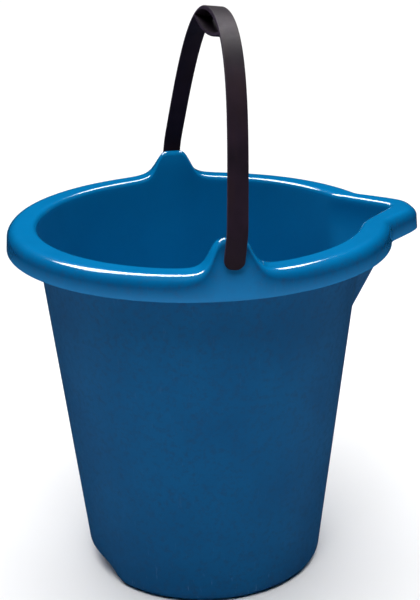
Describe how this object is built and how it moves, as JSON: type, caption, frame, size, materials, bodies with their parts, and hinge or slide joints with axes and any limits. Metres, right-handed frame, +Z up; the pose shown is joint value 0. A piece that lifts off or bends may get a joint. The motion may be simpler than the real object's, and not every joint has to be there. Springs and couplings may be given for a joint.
{
  "type": "feed bucket",
  "caption": "Tapered plastic bucket with a wide rolled rim, a pointed pouring spout and a swinging bail handle with an eye-shaped hand grip.",
  "frame": {"origin": "centre of the base's underside, on the surface the bucket stands on", "axes": "+Z up through the bucket's axis, +X towards the pouring spout, Y along the handle's pivot axis"},
  "size_m": [0.3345, 0.3078, 0.4604],
  "materials": {
    "blue_plastic": "moulded polyethylene, satin wall and glossy rim",
    "black_plastic": "moulded polypropylene, low sheen"
  },
  "bodies": {
    "bucket": {"bucket_body": "blue_plastic"},
    "handle": {"bail_handle": "black_plastic"}
  },
  "joints": [
    {"name": "handle_swing", "type": "hinge", "parent": "bucket", "child": "handle", "pos_m": [0, 0, 0.306], "axis": [0, 1, 0], "range_deg": [-91, 78]}
  ]
}
